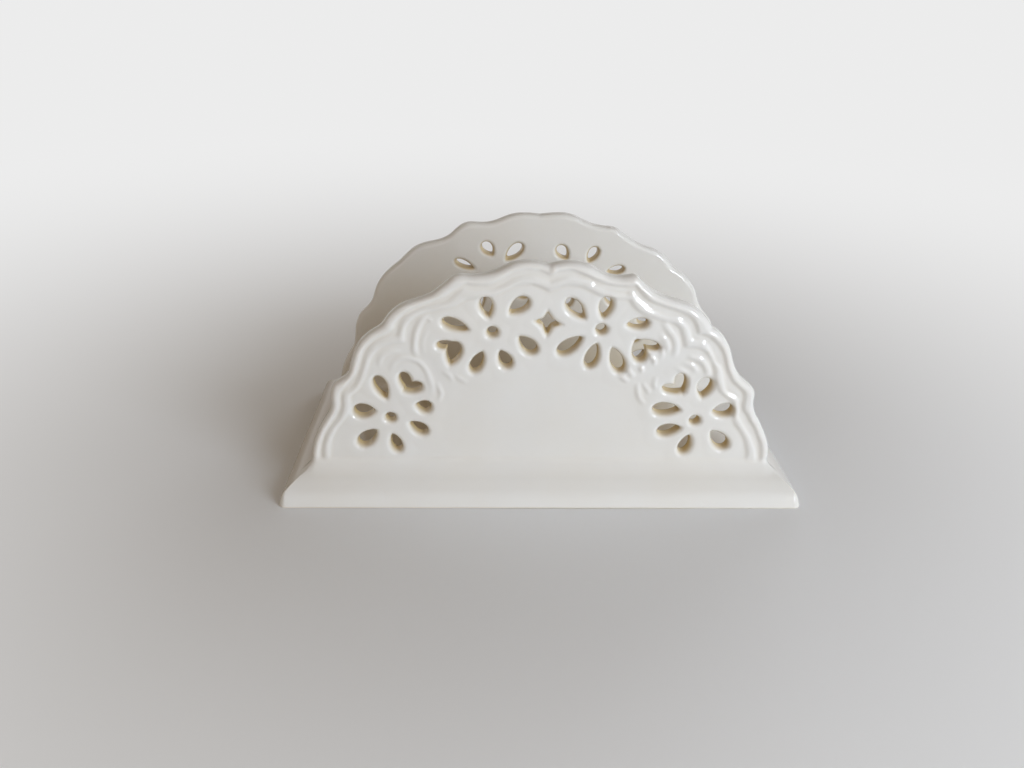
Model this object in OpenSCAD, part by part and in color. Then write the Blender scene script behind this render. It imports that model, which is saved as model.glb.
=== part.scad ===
// Napkin holder in glazed earthenware: two scalloped, pierced panels that
// stand on a low hollow base, with an open slot between them for napkins.
// X runs along the base, Y from front to back, Z up.
// The origin is on the table, under the middle of the base.

/* [Base] */
// Length of the base on the table
base_length = 180; // [172:0.5:210]
// Depth of the base on the table, from front to back
base_w = 85.4; // [70:0.1:110]
// Height of the upright lip round the base
lip_h = 4.4; // [3:0.1:6]
// How far the lip leans in by its top
lip_lean = 1.5; // [0.5:0.1:3]
// Rounding where the lip turns into the shoulder
lip_round_r = 1.2; // [0.4:0.1:2]
// Height of the floor of the slot, where the shoulder ends
floor_h = 9.6; // [8:0.1:14]
// Radius of the coving where the base rises to the panels
cove_r = 2; // [1:0.1:4]
// Radius of the base's upright corners
corner_r = 3; // [1:0.1:8]

/* [Underside] */
// Width of the dry foot rim that the base stands on
foot_rim_w = 9; // [5:0.5:14]
// Depth of the hollow in the underside
hollow_h = 5; // [2:0.1:6]
// Radius of the hollow's corners
hollow_corner_r = 5; // [2:0.5:10]

/* [Panels] */
// Thickness of the plain field of a panel
panel_t = 4.7; // [3.5:0.1:7]
// Distance from the base's front edge to a panel's plain face
panel_inset = 11.5; // [8:0.1:16]
// Distance from the base's end to the end of a panel's foot
panel_end_inset = 10.3; // [7:0.1:16]
// Height of the arch's centre above the table
arch_h = 5.8; // [0:0.1:9]

/* [Scallops] */
// Height of a scallop's round lobe over the mean arch
lobe_rise = 1.05; // [0.3:0.05:2]
// Depth of the hollows beside the upper points
dip_depth = 1.1; // [0.3:0.05:2]
// Height of the upper points over the mean arch
point_rise = 1.5; // [0.5:0.05:2.5]
// Depth of the hollows beside the lower points
lower_dip_depth = 1.6; // [0.3:0.05:2.5]
// Height of the lower points over the mean arch
lower_point_rise = 0.6; // [0.2:0.05:2]
// Depth of the notch between two scallops
notch_depth = 0.2; // [0:0.05:2]
// Depth of the shallower notch at the top of the arch
crown_notch_depth = 0.2; // [0:0.05:2]
// How much further the lowest lobe swells at the foot
foot_flare = 1.25; // [0:0.05:3]

/* [Relief] */
// Rounding of a panel's rim
rim_r = 1.9; // [0.8:0.1:2.3]
// Height of the roll along the rim over the plain field
roll_h = 0.8; // [0.2:0.05:1.5]
// Width of the roll
roll_w = 3; // [2:0.1:3.6]
// Distance from the rim to the roll's crest
roll_in = 2; // [1.8:0.1:2.4]
// Height of the second ridge over the plain field
ridge_h = 0.7; // [0.2:0.05:1.5]
// Width of the second ridge
ridge_w = 3.2; // [2:0.1:3.6]
// Distance from the rim to the second ridge's crest
ridge_in = 6.2; // [5.8:0.1:7]
// Height of the first ripple beside a notch
ripple_h = 0.5; // [0.2:0.05:1]
// Width of a ripple
ripple_w = 2.2; // [1:0.1:3]
// Distance from one ripple's crest to the next
ripple_pitch = 3.6; // [3.4:0.1:4.2]
// Angle over which the first ripple runs on each side of its notch
ripple_angle = 9; // [4:0.5:14]
// Height over a panel's foot at which the relief ends
relief_foot_h = 3; // [1:0.5:12]

/* [Piercings] */
// Radius of the round hole in a flower's middle
flower_eye_r = 2.1; // [1:0.1:3]

/* [Hidden] */

$fn = 64;
glaze = [0.93, 0.91, 0.87];
overrun = panel_t;

// Half scallops from the crown of the arch to its foot
half_scallops = 4;
// Steps in the outlines' curves
half_steps = 14;
foot_steps = 2;
petal_steps = 22;
arc_steps = 6;
rim_steps = 3;

// Where a scallop's lobe crests and where its hollow bottoms out,
// counted from the notch to the point
lobe_share = 0.31;
dip_share = 0.68;
lower_lobe_share = 0.24;
lower_dip_share = 0.72;
foot_lobe_share = 0.37;
// How sharply a lobe leaves its notch, and the hollow climbs to the point
lobe_power = 1.75;
point_power = 1.7;
// A bead's upper step, and the second ripple, beside the full size
bead_step_share = 0.55;
ripple_share = 0.6;
// How far the rim's front step stands in, beside its rounding
front_step_share = 0.13;
// How the narrow end of a petal tapers
petal_power = 0.5;
// The piercings follow the arch. As shares of its radius: where the flowers'
// and the star's middles lie, how far a petal, a point of the star and the
// star's inner corners reach
flower_ring_share = 0.7345;
star_ring_share = 0.754;
rear_star_ring_share = 0.69;
flower_share = 0.161;
star_share = 0.0605;
star_waist_share = 0.031;

base_x = base_length / 2;
base_y = base_w / 2;
seat_h = floor_h + cove_r;
foot_x = base_x - panel_end_inset;
face_y = base_y - panel_inset;
// Radius at the panel's foot, and of the mean arch that the scallops follow
foot_r = norm([foot_x, seat_h - arch_h]);
arch_r = foot_r - lobe_rise - foot_flare;
flower_ring_r = flower_ring_share * arch_r;
flower_r = flower_share * arch_r;
// Angles about the arch's centre: its foot, a half scallop, and the notch
// that the ripples lie beside
foot_a = atan2(seat_h - arch_h, foot_x);
half_scallop_a = (90 - foot_a) / half_scallops;
ripple_notch_a = 90 - 2 * half_scallop_a;

// Each petal's narrow end, round end and width: x, z, x, z, width, as
// shares of flower_r from the flower's middle. They are cut by hand, so
// no two flowers match. Where two neighbours overlap they make a heart.
outer_left_shares = [
  [-0.38,  0.21, -1.01,  0.18, 0.47],
  [-0.07,  0.55, -0.33,  1.26, 0.39],
  [ 0.55,  0.72,  0.36,  1.38, 0.37],
  [ 0.34,  0.80,  0.90,  1.00, 0.37],
  [ 0.66,  0.40,  1.12,  0.28, 0.42],
  [ 0.49, -0.13,  0.98, -0.51, 0.39],
  [ 0.02, -0.49,  0.18, -1.12, 0.37],
  [-0.39, -0.38, -0.92, -0.91, 0.45]
];
outer_right_shares = [
  [-0.41,  0.76, -0.51,  1.44, 0.37],
  [-0.35,  0.87, -1.02,  1.02, 0.30],
  [ 0.10,  0.68,  0.18,  1.32, 0.45],
  [ 0.42,  0.26,  1.04,  0.36, 0.46],
  [ 0.49, -0.32,  1.02, -0.92, 0.45],
  [-0.08, -0.45, -0.24, -1.11, 0.39],
  [-0.33, -0.24, -1.02, -0.39, 0.42],
  [-0.42,  0.31, -1.22,  0.36, 0.44]
];
upper_left_shares = [
  [-0.09,  0.38, -0.21,  0.96, 0.38],
  [ 0.41,  0.50,  0.90,  0.94, 0.42],
  [ 0.67, -0.10,  1.14, -0.60, 0.42],
  [ 0.20, -0.50,  0.46, -1.04, 0.39],
  [-0.24, -0.54, -0.52, -1.18, 0.37],
  [-0.85, -0.38, -1.45, -0.37, 0.29],
  [-0.92, -0.26, -1.12, -0.93, 0.42],
  [-0.59,  0.05, -1.30,  0.32, 0.36]
];
upper_right_shares = [
  [-0.43,  0.28, -0.94,  0.83, 0.40],
  [ 0.02,  0.28,  0.10,  0.90, 0.39],
  [ 0.61,  0.14,  1.22,  0.19, 0.35],
  [ 0.85, -0.31,  1.58, -0.52, 0.29],
  [ 0.93, -0.25,  1.12, -0.94, 0.42],
  [ 0.31, -0.50,  0.63, -1.25, 0.40],
  [-0.09, -0.38, -0.27, -1.13, 0.39],
  [-0.46, -0.21, -1.10, -0.71, 0.42]
];
rear_upper_left_shares = [
  [-0.23,  0.46, -0.46,  0.96, 0.35],
  [ 0.42,  0.55,  0.73,  0.99, 0.37],
  [ 0.67, -0.10,  1.14, -0.60, 0.42],
  [ 0.20, -0.50,  0.46, -1.04, 0.39],
  [-0.24, -0.54, -0.52, -1.18, 0.37],
  [-0.85, -0.38, -1.45, -0.37, 0.29],
  [-0.92, -0.26, -1.12, -0.93, 0.42],
  [-0.82,  0.18, -1.37,  0.28, 0.29]
];
rear_upper_right_shares = [
  [-0.36,  0.49, -0.86,  1.01, 0.40],
  [ 0.02,  0.63,  0.34,  1.05, 0.37],
  [ 0.59,  0.20,  1.20,  0.48, 0.27],
  [ 0.85, -0.31,  1.58, -0.52, 0.29],
  [ 0.93, -0.25,  1.12, -0.94, 0.42],
  [ 0.31, -0.50,  0.63, -1.25, 0.40],
  [-0.09, -0.38, -0.27, -1.13, 0.39],
  [-0.46, -0.21, -1.10, -0.71, 0.42]
];
// A panel's flowers: each one's angle round the arch, its reach as a share
// of flower_ring_r, and its petals. The rear panel's upper two lie lower.
outer_left_flower = [155.8, 0.991, outer_left_shares];
outer_right_flower = [23.8, 0.986, outer_right_shares];
front_flowers = [
  outer_left_flower,
  [107.9, 1.010, upper_left_shares],
  [ 73.1, 1.028, upper_right_shares],
  outer_right_flower
];
rear_flowers = [
  outer_left_flower,
  [107.3, 0.967, rear_upper_left_shares],
  [ 72.2, 0.973, rear_upper_right_shares],
  outer_right_flower
];

// Base

// Points of an arc about a centre
function arc(centre, r, from, to) =
  [for (i = [0 : arc_steps]) let (a = from + (to - from) * i / arc_steps)
    centre + r * [cos(a), sin(a)]];

// Right half of the base's section at the height of the shoulder: the
// leaning lip, its rounded turn and the slope up to the slot's floor
function shoulder(half, inset) =
  let (lean_a = atan2(lip_lean, lip_h),
       top = [half - inset + cove_r, floor_h],
       turn = [half - lip_lean, lip_h],
       slope = top - turn,
       slope_a = atan2(slope[1], slope[0]) - 90,
       half_turn = (slope_a - lean_a) / 2,
       reach = lip_round_r / cos(half_turn),
       centre = turn - reach * [cos(lean_a + half_turn), sin(lean_a + half_turn)])
  concat([[half, 0]], arc(centre, lip_round_r, lean_a, slope_a), [top]);

function flip(points) = [for (i = [len(points) - 1 : -1 : 0]) [-points[i][0], points[i][1]]];

module section(half, inset) {
  points = shoulder(half, inset);
  polygon(concat(points, flip(points)));
}

// Draws a flat shape's x and y as the object's X and Z, run along Y
module along_y(length) {
  rotate([90, 0, 0]) linear_extrude(length, center = true) children();
}

// Draws a flat shape's x and y as the object's Y and Z, run along X
module along_x(length) {
  rotate([90, 0, 90]) linear_extrude(length, center = true) children();
}

module rounded_plate(length, width, r) {
  square([length - 2 * r, width], center = true);
  square([length, width - 2 * r], center = true);
  for (x = [-1, 1], y = [-1, 1])
    translate([x * (length / 2 - r), y * (width / 2 - r)]) circle(r);
}

module plinth() {
  intersection() {
    along_y(base_w) section(base_x, panel_end_inset);
    along_x(base_length) section(base_y, panel_inset);
    linear_extrude(floor_h) rounded_plate(base_length, base_w, corner_r);
  }
}

// A seat's section: an upright with a cove at each side
module coved_upright(width) {
  translate([-width / 2, floor_h - cove_r]) square([width, 2 * cove_r]);
  for (side = [-1, 1])
    translate([side * width / 2, 0])
      difference() {
        translate([side > 0 ? 0 : -cove_r, floor_h - cove_r]) square([cove_r, 2 * cove_r]);
        translate([side * cove_r, seat_h]) circle(cove_r);
      }
}

// The raised seat that a panel is joined to
module seat() {
  intersection() {
    along_x(base_length) coved_upright(panel_t);
    along_y(base_w) coved_upright(2 * foot_x);
  }
}

module base() {
  color(glaze)
  difference() {
    union() {
      plinth();
      for (side = [-1, 1])
        translate([0, side * (face_y - panel_t / 2), 0]) seat();
    }
    translate([0, 0, -overrun])
      linear_extrude(overrun + hollow_h)
        rounded_plate(base_length - 2 * foot_rim_w, base_w - 2 * foot_rim_w, hollow_corner_r);
  }
}

// Panels

// Height of the rim over the mean arch, from the notch (0) to the point (1),
// with the lobe's crest and the hollow's bottom at shares of the way
function scallop(t, notch, lobe, dip, depth, rise) =
  t < lobe
    ? lobe_rise - (lobe_rise + notch) * pow(1 - t / lobe, lobe_power)
    : t < dip
      ? (lobe_rise - depth) / 2 + (lobe_rise + depth) / 2 * cos(180 * (t - lobe) / (dip - lobe))
      : (rise + depth) * pow((t - dip) / (1 - dip), point_power) - depth;

function upper_scallop(t, notch) =
  scallop(t, notch, lobe_share, dip_share, dip_depth, point_rise);
function lower_scallop(t, lobe) =
  scallop(t, notch_depth, lobe, lower_dip_share, lower_dip_depth, lower_point_rise);

// The lowest half scallop swells on down to the foot instead
function foot_scallop(t) =
  t < foot_lobe_share
    ? lobe_rise + foot_flare * sin(90 * (1 - t / foot_lobe_share))
    : lower_scallop(t, foot_lobe_share);

// Radius of the rim at an angle round the arch, alike to left and right
function rim_at(a) =
  let (down = 90 - min(a, 180 - a),
       n = floor(down / half_scallop_a),
       part = down / half_scallop_a - n,
       t = n % 2 == 0 ? part : 1 - part)
  arch_r + (n == 0 ? upper_scallop(t, crown_notch_depth)
    : n < half_scallops - 2 ? upper_scallop(t, notch_depth)
    : n == half_scallops - 2 ? lower_scallop(t, lower_lobe_share)
    : n == half_scallops - 1 ? foot_scallop(t)
    : foot_scallop(0));

// Angles round the arch, with one on every notch and every point
rim_spans = 2 * half_scallops * half_steps;
rim_angles = concat(
  [for (i = [0 : foot_steps - 1]) foot_a * i / foot_steps],
  [for (i = [0 : rim_spans]) foot_a + (180 - 2 * foot_a) * i / rim_spans],
  [for (i = [foot_steps - 1 : -1 : 0]) 180 - foot_a * i / foot_steps]
);

// The panel's outline at a distance in from the rim, above a height
module outline(inset, from_h) {
  intersection() {
    polygon([for (a = rim_angles) (rim_at(a) - inset) * [cos(a), sin(a)] + [0, arch_h]]);
    translate([-base_x, from_h]) square([base_length, 2 * arch_r]);
  }
}

// Runs a flat shape back from one depth behind the plain face to another
module run_back(from, to) {
  translate([0, to, 0]) rotate([90, 0, 0]) linear_extrude(to - from) children();
}

// A raised bead that follows the rim, in two steps
module bead(in, width, height) {
  for (share = [1, bead_step_share])
    run_back(-height * (share < 1 ? 1 : bead_step_share), 0)
      difference() {
        outline(in - share * width / 2, seat_h + relief_foot_h);
        outline(in + share * width / 2, 0);
      }
}

// A fan about the arch's centre, to each side of an angle
module fan(a, half_a) {
  translate([0, arch_h])
    polygon([[0, 0], for (i = [-1, 0, 1]) 2 * arch_r * [cos(a + i * half_a), sin(a + i * half_a)]]);
}

// The ripples beside the notches between the lower and upper scallops
module ripples() {
  for (i = [1, 2], a = [ripple_notch_a, 180 - ripple_notch_a])
    let (share = pow(ripple_share, i - 1))
    run_back(-share * ripple_h, 0)
      intersection() {
        difference() {
          outline(ridge_in + i * ripple_pitch - ripple_w / 2, seat_h);
          outline(ridge_in + i * ripple_pitch + ripple_w / 2, 0);
        }
        fan(a, share * ripple_angle);
      }
}

// The plain slab, with its rim rounded in steps at the back and once in front
module slab() {
  run_back(0, panel_t - rim_r) outline(front_step_share * rim_r, seat_h);
  run_back(rim_r / 2, panel_t - rim_r) outline(0, seat_h);
  for (i = [1 : rim_steps])
    run_back(panel_t - rim_r, panel_t - rim_r * (1 - i / rim_steps))
      outline(rim_r * (1 - sqrt(1 - pow((i - 0.5) / rim_steps, 2))), seat_h);
}

// Outline of a petal from its narrow end to its round end
function petal_bulge(a) = sin(a) * pow(sin(a / 2), petal_power);
petal_bulge_max = max([for (i = [0 : petal_steps]) petal_bulge(180 * i / petal_steps)]);

module petal(row) {
  from = flower_r * [row[0], row[1]];
  to = flower_r * [row[2], row[3]];
  width = flower_r * row[4];
  length = norm(to - from);
  way = (to - from) / length;
  polygon([for (i = [0 : petal_steps - 1])
    let (a = 360 * i / petal_steps,
         along = length * (1 - cos(a)) / 2,
         across = width / 2 * petal_bulge(a) / petal_bulge_max)
    from + along * way + across * [-way[1], way[0]]]);
}

module star() {
  polygon([for (i = [0 : 7])
    (i % 2 == 0 ? star_share : star_waist_share) * arch_r * [cos(45 * i), sin(45 * i)]]);
}

// Everything cut through a panel, as one flat shape
module piercings(flowers, star_ring) {
  for (f = flowers)
    translate(f[1] * flower_ring_r * [cos(f[0]), sin(f[0])] + [0, arch_h]) {
      circle(flower_eye_r);
      for (row = f[2])
        petal(row);
    }
  translate([0, arch_h + star_ring * arch_r]) star();
}

module panel(flowers, star_ring) {
  color(glaze)
  difference() {
    union() {
      slab();
      bead(roll_in, roll_w, roll_h);
      bead(ridge_in, ridge_w, ridge_h);
      ripples();
    }
    run_back(-overrun, panel_t + overrun) piercings(flowers, star_ring);
  }
}

module front_panel() {
  translate([0, -face_y, 0]) panel(front_flowers, star_ring_share);
}

module rear_panel() {
  rotate(180)
    translate([0, -face_y, 0])
      panel(rear_flowers, rear_star_ring_share);
}

base();
front_panel();
rear_panel();
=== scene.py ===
"""Napkin holder in ivory glazed earthenware.

Two scalloped, pierced panels stand on a low base. The clay is described by its distance to the
surface, in millimetres, and each piece is a mesh drawn over that surface. X runs along the base,
Y from the front panel to the rear panel, Z up, and the origin is on the table.
"""
import functools
import math
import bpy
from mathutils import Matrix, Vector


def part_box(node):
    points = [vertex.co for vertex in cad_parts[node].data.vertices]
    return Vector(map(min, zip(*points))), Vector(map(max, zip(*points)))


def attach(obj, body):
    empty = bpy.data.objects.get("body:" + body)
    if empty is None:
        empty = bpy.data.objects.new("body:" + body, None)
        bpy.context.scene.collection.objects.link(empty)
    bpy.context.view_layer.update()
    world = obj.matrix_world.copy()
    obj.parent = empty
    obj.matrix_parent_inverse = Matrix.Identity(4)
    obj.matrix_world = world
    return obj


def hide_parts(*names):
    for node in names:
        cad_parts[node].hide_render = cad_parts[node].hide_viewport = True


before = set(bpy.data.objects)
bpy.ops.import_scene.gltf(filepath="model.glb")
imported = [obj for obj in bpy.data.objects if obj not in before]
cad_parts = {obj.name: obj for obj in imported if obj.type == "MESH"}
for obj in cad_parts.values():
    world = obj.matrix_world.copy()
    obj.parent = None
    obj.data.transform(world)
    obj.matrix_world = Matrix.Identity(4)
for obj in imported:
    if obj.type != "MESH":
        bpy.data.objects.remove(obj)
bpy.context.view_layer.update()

import types

import bmesh
import bpy
import numpy as np
from mathutils import Matrix, Vector

bl_info = {
    "name": "Napkin Holder",
    "version": (1, 0, 0),
    "blender": (4, 5, 0),
    "location": "View3D > Sidebar > Napkin Holder",
    "description": "Builds a pierced earthenware napkin holder, its glaze and its studio",
    "category": "Add Mesh",
}

MM = 0.001
BASE_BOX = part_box("base")


# Settings

def length(name, description, millimetres):
    """A length that a user may set, given in millimetres."""
    return bpy.props.FloatProperty(
        name=name, description=description, default=millimetres * MM, precision=5, unit="LENGTH")


def share(name, description, value):
    """A share from 0 to 1."""
    return bpy.props.FloatProperty(
        name=name, description=description, default=value, min=0.0, max=1.0, subtype="FACTOR")


def colour(name, description, value):
    """A colour in linear values."""
    return bpy.props.FloatVectorProperty(
        name=name, description=description, default=value, size=3, min=0.0, max=1.0,
        subtype="COLOR")


def power(name, description, watts):
    """The power of a light."""
    return bpy.props.FloatProperty(
        name=name, description=description, default=watts, min=0.0, unit="POWER")


class BaseSizes(bpy.types.PropertyGroup):
    """Sizes of the base, with the outer ones read from the frame."""
    length: length("Length", "Length of the base on the table",
                   (BASE_BOX[1].x - BASE_BOX[0].x) / MM)
    depth: length("Depth", "Depth of the base, from front to back",
                  (BASE_BOX[1].y - BASE_BOX[0].y) / MM)
    floor: length("Floor height", "Height of the floor of the slot", 9.6)
    corner: length("Corner radius", "Radius of the upright corners", 3.0)
    cove: length("Cove radius", "Rounding where the slot's floor meets the panels", 2.0)
    front_cove: length("Outer cove radius", "Rounding where the shoulder meets the panels", 5.0)
    rim: length("Foot rim", "Width of the dry rim that the base stands on", 9.0)
    hollow: length("Hollow depth", "Depth of the hollow underneath", 5.0)
    hollow_corner: length("Hollow corners", "Radius of the hollow's corners", 5.0)
    mesh_step: length("Mesh step", "Distance between the points of the mesh", 0.5)


class PanelSizes(bpy.types.PropertyGroup):
    """Sizes that the two panels share."""
    thickness: length("Thickness", "Thickness of the plain field", 4.7)
    face: length("Face distance", "Distance of the plain face from the middle of the holder",
                 31.2)
    arch: length("Arch centre", "Height of the arch's centre", 5.8)
    front_round: length("Front rounding", "Rounding of the rim in front", 2.2)
    back_round: length("Back rounding", "Rounding of the rim behind", 1.9)
    hole_round: length("Hole rounding", "Rounding of the piercings' edges", 1.4)
    hole_taper: share("Hole taper", "How much the piercings narrow with depth", 0.13)
    roll: length("Roll height", "Height of the roll along the rim", 0.68)
    ridge: length("Ridge height", "Height of the second ridge", 0.58)
    flank: length("Flank width", "Half the width of the roll's and the ridge's flanks", 0.85)
    ripple: length("Ripple height", "Height of the first ripple beside a notch", 0.52)
    petal_lift: length("Petal lift", "Height of the soft swelling round the piercings", 0.12)
    mesh_step: length("Mesh step", "Distance between the points of the mesh", 0.5)


class GlazeSettings(bpy.types.PropertyGroup):
    """Colours and gloss of the glaze."""
    ivory: colour("Ivory", "The glaze over the clay", (0.80, 0.79, 0.768))
    # Also laid on as painted shade in close corners, the slot and the piercings
    pooled: colour("Pooled", "The glaze where it lies thick, in hollows and piercings",
                   (0.58, 0.44, 0.21))
    thin: colour("Thin", "The glaze where it runs thin over an edge", (0.84, 0.80, 0.74))
    clay: colour("Bare clay", "The dry foot rim", (0.66, 0.56, 0.43))
    roughness: share("Roughness", "Roughness of the glaze", 0.09)
    waviness: length("Waviness", "Height of the slow waves of the hand-made surface", 0.09)


class StudioSettings(bpy.types.PropertyGroup):
    """Light and floor."""
    window: power("Window", "Power of the soft window-like light", 4.5)
    spark: power("Spark", "Power of the small light that the glaze mirrors", 2.1)
    back: power("Back light", "Power of the weak light from behind", 2.6)
    side: power("Side light", "Power of the weak light from the left", 0.55)
    fill: bpy.props.FloatProperty(
        name="Fill", description="Strength of the light from all round", default=0.18, min=0.0)
    floor: colour("Floor", "Colour of the floor", (0.81, 0.82, 0.84))
    background: colour("Background", "Colour behind the holder", (0.84, 0.84, 0.84))


# Lines of the panel
# Places on a panel's plain face, seen from outside: x from its middle, z from the table, in mm.

FLOWER_REACH, EYE_RADIUS = 12.5, 2.1
PETAL_POINTS, EYE_POINTS = 36, 32
STAR = [(4.5, -0.8), (1.5, 1.1), (-0.4, 4.1), (-1.7, 1.5), (-4.6, 0.4), (-2, -1.8),
        (-0.4, -5), (1.5, -2.1)]

# The rim on each side of a panel: angle up from the foot about the arch's centre, radius
FRONT_RIGHT = [
    (4.16, 79.91), (6, 79.9), (8, 79.85), (10, 79.6), (12, 79), (15, 77.9), (17, 77.2),
    (19, 76.5), (21, 76.3), (22.3, 76.5), (23.7, 77.1), (24.9, 77.8), (26, 78), (27.5, 77.6),
    (29, 76.8), (31, 75.8), (32.7, 75.5), (34.3, 75.6), (36, 76), (38, 76.8), (40, 77.65),
    (42.5, 78.2), (44.5, 78.35), (46.2, 78), (47.2, 77.6), (48, 77.8), (49.2, 78.3),
    (51, 78.6), (53, 78.7), (55, 78.5), (57.5, 77.7), (60, 76.8), (62, 76.3), (64, 76.2),
    (66, 76.5), (68, 77.3), (69.6, 78.3), (70.6, 78.3), (72, 77.4), (73.5, 76.6), (75.5, 76.2),
    (77, 76.3), (79, 77), (81, 77.9), (83, 78.2), (85, 78.3), (87, 78.1), (88.5, 77.7),
    (90, 77.1)]
FRONT_LEFT = [
    (4.16, 79.91), (7, 79.7), (10, 79.2), (12, 78.6), (14.4, 77.85), (17, 76.9), (18.75, 76.35),
    (20.6, 76.2), (22, 76.5), (23.4, 77.3), (25, 77.95), (26.25, 78.1), (27.5, 77.75),
    (28.75, 76.9), (30, 76.1), (31.9, 75.85), (33.75, 76.5), (35.3, 77.15), (37, 77.9),
    (38.75, 78.4), (40.6, 78.7), (43.1, 78.45), (45, 77.9), (46.6, 77.55), (47.8, 77.75),
    (49.4, 78.35), (51.9, 78.75), (54.4, 78.5), (56.6, 77.75), (58.75, 77.1), (61.25, 76.8),
    (63.1, 77.3), (64.7, 77.8), (66.25, 78.4), (67.8, 78.95), (69.4, 78.65), (71.25, 77.5),
    (73.1, 76.9), (75.6, 76.6), (77.8, 76.95), (80, 77.8), (81.9, 78.4), (84.4, 78.5),
    (86.9, 78.05), (89.1, 77.2), (90, 77.1)]
REAR_RIGHT = [
    (4.16, 79.91), (8, 79.3), (12, 78.2), (15, 77), (17, 76.35), (18.75, 76.45), (20.6, 76.9),
    (22.5, 77.65), (24.4, 78.15), (26.9, 78.3), (28.75, 77.8), (30.6, 77), (32.5, 76.8),
    (34.4, 77.35), (36.25, 78.15), (38.75, 78.9), (41.9, 79.15), (45, 78.85), (47.5, 78.5),
    (49.4, 78.7), (52.5, 78.9), (55, 78.45), (57.5, 77.45), (59.4, 76.55), (61.6, 75.95),
    (63.75, 76.1), (65.6, 76.95), (67.5, 77.65), (69.4, 77.85), (71.25, 77.25), (73.1, 76.3),
    (75.6, 75.65), (78.1, 75.85), (80.6, 76.6), (83.75, 77.1), (87.5, 76.8), (90, 76.3)]
REAR_LEFT = [
    (4.16, 79.91), (8, 79.7), (11, 79.1), (14, 78), (17, 77), (19.5, 76.5), (21.5, 76.8),
    (23.5, 77.7), (25, 78.2), (27, 78), (29, 77.3), (31, 76.8), (33, 76.9), (35, 77.5), (37, 78.2),
    (39, 78.55), (41, 78.55), (44, 78.2), (46, 77.55), (47.5, 77.25), (49, 77.55), (51, 78),
    (53, 78), (55, 77.6), (57, 76.8), (59, 76.25), (61, 76.05), (64, 76.35), (66, 76.8),
    (67.5, 77.2), (69.3, 76.9), (71, 76.2), (73, 75.8), (75, 75.75), (78, 76.45), (80, 77.2),
    (83, 77.5), (85, 77.3), (88, 76.75), (90, 76.3)]

# Each petal's narrow end, round end and width, as shares of the flower's reach
OUTER_LEFT = [
    (-0.38, 0.21, -1.01, 0.18, 0.47), (-0.07, 0.55, -0.33, 1.26, 0.39),
    (0.55, 0.72, 0.36, 1.38, 0.37), (0.34, 0.8, 0.9, 1, 0.37),
    (0.66, 0.4, 1.12, 0.28, 0.42), (0.49, -0.13, 0.98, -0.51, 0.39),
    (0.02, -0.49, 0.18, -1.12, 0.37), (-0.39, -0.38, -0.92, -0.91, 0.45)]
OUTER_RIGHT = [
    (-0.43, 0.79, -0.58, 1.44, 0.37), (-0.35, 0.87, -1.02, 1.02, 0.3),
    (0.1, 0.68, 0.18, 1.32, 0.45), (0.42, 0.26, 1.04, 0.36, 0.46),
    (0.49, -0.32, 1.02, -0.92, 0.45), (-0.08, -0.45, -0.24, -1.11, 0.39),
    (-0.33, -0.24, -1.02, -0.39, 0.42), (-0.42, 0.31, -1.22, 0.36, 0.44)]
UPPER_LEFT = [
    (-0.09, 0.38, -0.21, 0.96, 0.38), (0.41, 0.5, 0.9, 0.94, 0.42), (0.67, -0.1, 1.14, -0.6, 0.42),
    (0.2, -0.5, 0.46, -1.04, 0.39), (-0.24, -0.54, -0.52, -1.18, 0.37),
    (-0.85, -0.38, -1.45, -0.37, 0.29), (-1.1, -0.97, -0.905, -0.26, 0.45),
    (-0.59, 0.05, -1.3, 0.32, 0.36)]
UPPER_RIGHT = [
    (-0.43, 0.28, -0.94, 0.83, 0.4), (0.02, 0.28, 0.1, 0.9, 0.39), (0.61, 0.14, 1.22, 0.19, 0.35),
    (0.85, -0.31, 1.58, -0.52, 0.29), (0.93, -0.25, 1.12, -0.94, 0.42),
    (0.31, -0.5, 0.63, -1.25, 0.4), (-0.09, -0.38, -0.27, -1.13, 0.39),
    (-0.46, -0.21, -1.1, -0.71, 0.42)]
REAR_UPPER_LEFT = [
    (-0.23, 0.46, -0.46, 0.96, 0.35), (0.42, 0.55, 0.73, 0.99, 0.37), *UPPER_LEFT[2:7],
    (-0.82, 0.18, -1.37, 0.28, 0.29)]
REAR_UPPER_RIGHT = [
    (-0.36, 0.49, -0.86, 1.01, 0.4), (0.02, 0.63, 0.34, 1.05, 0.37),
    (0.59, 0.2, 1.2, 0.48, 0.27), *UPPER_RIGHT[3:]]

# Each panel: 1 where it faces the front and -1 where it faces away, the halves of its rim, the
# middle and the petals of each flower, and the height of the star's middle
LOW_FLOWERS = [((-51.5, 28.97), OUTER_LEFT), ((51.43, 28.48), OUTER_RIGHT)]
PANELS = {
    "front_panel": (1, FRONT_LEFT, FRONT_RIGHT, [
        *LOW_FLOWERS, ((-17.69, 60.58), UPPER_LEFT), ((17.03, 61.87), UPPER_RIGHT)], 64.3),
    "rear_panel": (-1, REAR_LEFT, REAR_RIGHT, [
        *LOW_FLOWERS, ((-16.4, 58.4), REAR_UPPER_LEFT), ((17, 58.6), REAR_UPPER_RIGHT)], 59.3)}

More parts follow.
